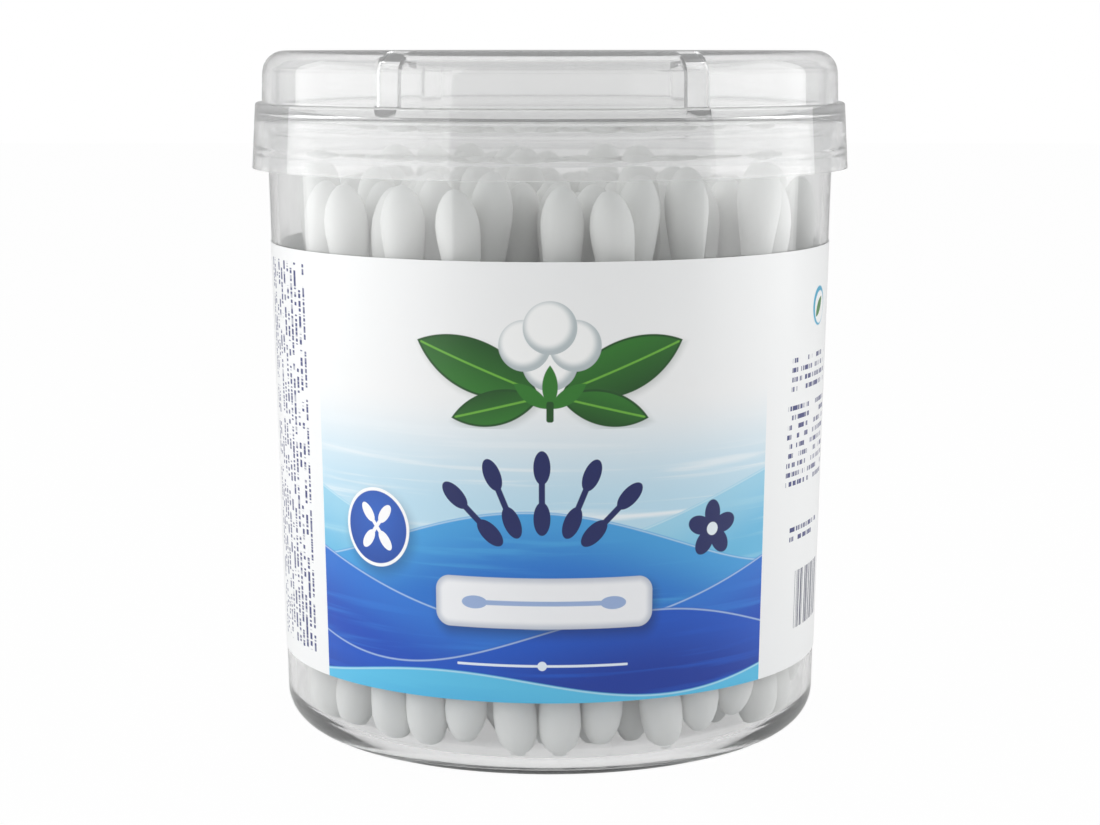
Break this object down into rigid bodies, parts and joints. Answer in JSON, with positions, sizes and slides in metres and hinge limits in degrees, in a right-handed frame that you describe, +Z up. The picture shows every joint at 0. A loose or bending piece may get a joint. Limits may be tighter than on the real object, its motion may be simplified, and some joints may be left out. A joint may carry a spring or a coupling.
{
  "type": "cotton swab tub",
  "caption": "Round clear snap-lid tub, slightly tapered, with a wrap label, filled with double-ended cotton swabs standing on end",
  "frame": {"origin": "centre of the base, on the surface it stands on", "axes": "+Z up along the tub's axis, the label's printed front faces -Y"},
  "size_m": [0.0804, 0.0804, 0.0912],
  "materials": {
    "tub_plastic": "clear moulded polypropylene",
    "lid_plastic": "clear, slightly milky moulded polypropylene",
    "printed_label": "printed film, pale above and blue below",
    "paper_stick": "rolled white paper",
    "cotton": "wound white cotton"
  },
  "bodies": {
    "tub": {"tub": "tub_plastic", "label": "printed_label", "outer_ring_sticks": "paper_stick", "outer_ring_lower_tips": "cotton", "outer_ring_upper_tips": "cotton", "second_ring_sticks": "paper_stick", "second_ring_lower_tips": "cotton", "second_ring_upper_tips": "cotton", "third_ring_sticks": "paper_stick", "third_ring_lower_tips": "cotton", "third_ring_upper_tips": "cotton", "fourth_ring_sticks": "paper_stick", "fourth_ring_lower_tips": "cotton", "fourth_ring_upper_tips": "cotton", "fifth_ring_sticks": "paper_stick", "fifth_ring_lower_tips": "cotton", "fifth_ring_upper_tips": "cotton", "centre_sticks": "paper_stick", "centre_lower_tips": "cotton", "centre_upper_tips": "cotton"},
    "lid": {"lid": "lid_plastic"}
  },
  "joints": [
    {"name": "lid_lift", "type": "slide", "parent": "tub", "child": "lid", "axis": [0, 0, 1], "range_m": [0, 0.03]}
  ]
}
